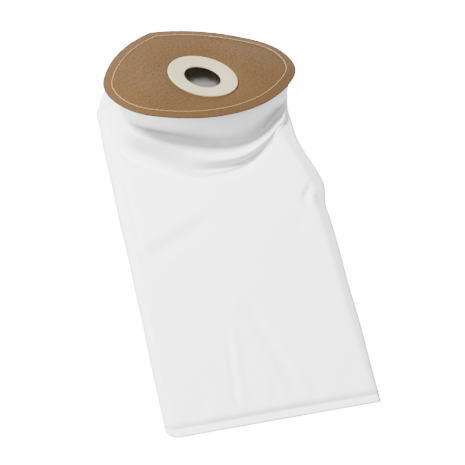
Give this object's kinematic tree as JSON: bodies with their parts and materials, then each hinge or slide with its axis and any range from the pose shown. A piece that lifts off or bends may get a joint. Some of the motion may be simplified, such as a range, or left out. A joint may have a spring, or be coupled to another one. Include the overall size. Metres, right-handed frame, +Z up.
{
  "type": "dust collector filter bag",
  "caption": "Flat gusseted fleece filter bag with a welded end, its mouth sewn to a tilted kraft board collar that carries a rubber inlet seal.",
  "frame": {"origin": "middle of the back panel's flat length, on the surface that the bag lies on", "axes": "+Z up from the surface, +Y from the welded end towards the collar, +X across the bag to the right"},
  "size_m": [0.2108, 0.4615, 0.0874],
  "materials": {
    "kraft_board": "matte",
    "fleece": "matte",
    "liner": "matte",
    "seal_rubber": "matte",
    "thread": "matte"
  },
  "bodies": {
    "bag": {"neck_fleece": "fleece", "neck_liner": "liner", "back_panel": "fleece", "back_liner": "liner", "front_panel": "fleece", "front_liner": "liner", "gusset_left_back": "fleece", "gusset_left_front": "fleece", "gusset_right_back": "fleece", "gusset_right_front": "fleece", "gusset_liner_left": "liner", "gusset_liner_right": "liner", "bottom_seam": "fleece"},
    "collar": {"collar_top_board": "kraft_board", "collar_backing_board": "kraft_board", "mouth_fleece_panel": "fleece", "mouth_liner_panel": "liner", "seal_ring": "seal_rubber", "needle_thread": "thread", "looper_thread": "thread"}
  },
  "joints": [
    {"name": "collar_tilt", "type": "hinge", "parent": "bag", "child": "collar", "pos_m": [0.07577, 0.25674, 0.0012], "axis": [-0.7314, 0.682, 0], "range_deg": [-6, 50], "deforming": ["neck_fleece", "neck_liner"]}
  ]
}
